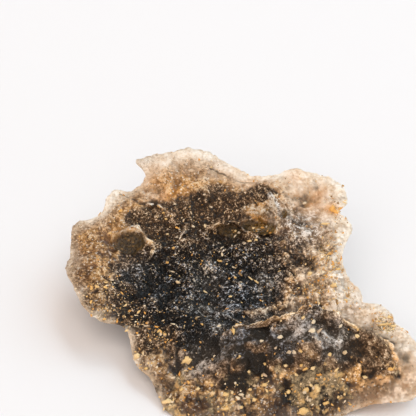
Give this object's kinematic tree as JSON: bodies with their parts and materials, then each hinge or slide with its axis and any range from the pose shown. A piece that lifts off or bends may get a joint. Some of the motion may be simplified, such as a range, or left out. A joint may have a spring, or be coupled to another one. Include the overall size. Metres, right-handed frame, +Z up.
{
  "type": "moldavite",
  "caption": "Etched chip of smoky natural glass: a dished flake with a thin broken rim and a thick lumpy knuckle at its front right.",
  "frame": {"origin": "centre of the bounding box in x and y, on the plane the stone rests on", "axes": "+Z up as it rests; +X along its longest side, with the knuckle at +X and -Y; +Y towards the raised thin rim"},
  "size_m": [0.0338, 0.0302, 0.0089],
  "materials": {
    "moldavite": "etched",
    "soil": "matte"
  },
  "bodies": {
    "root": {"moldavite": "moldavite"}
  },
  "joints": []
}
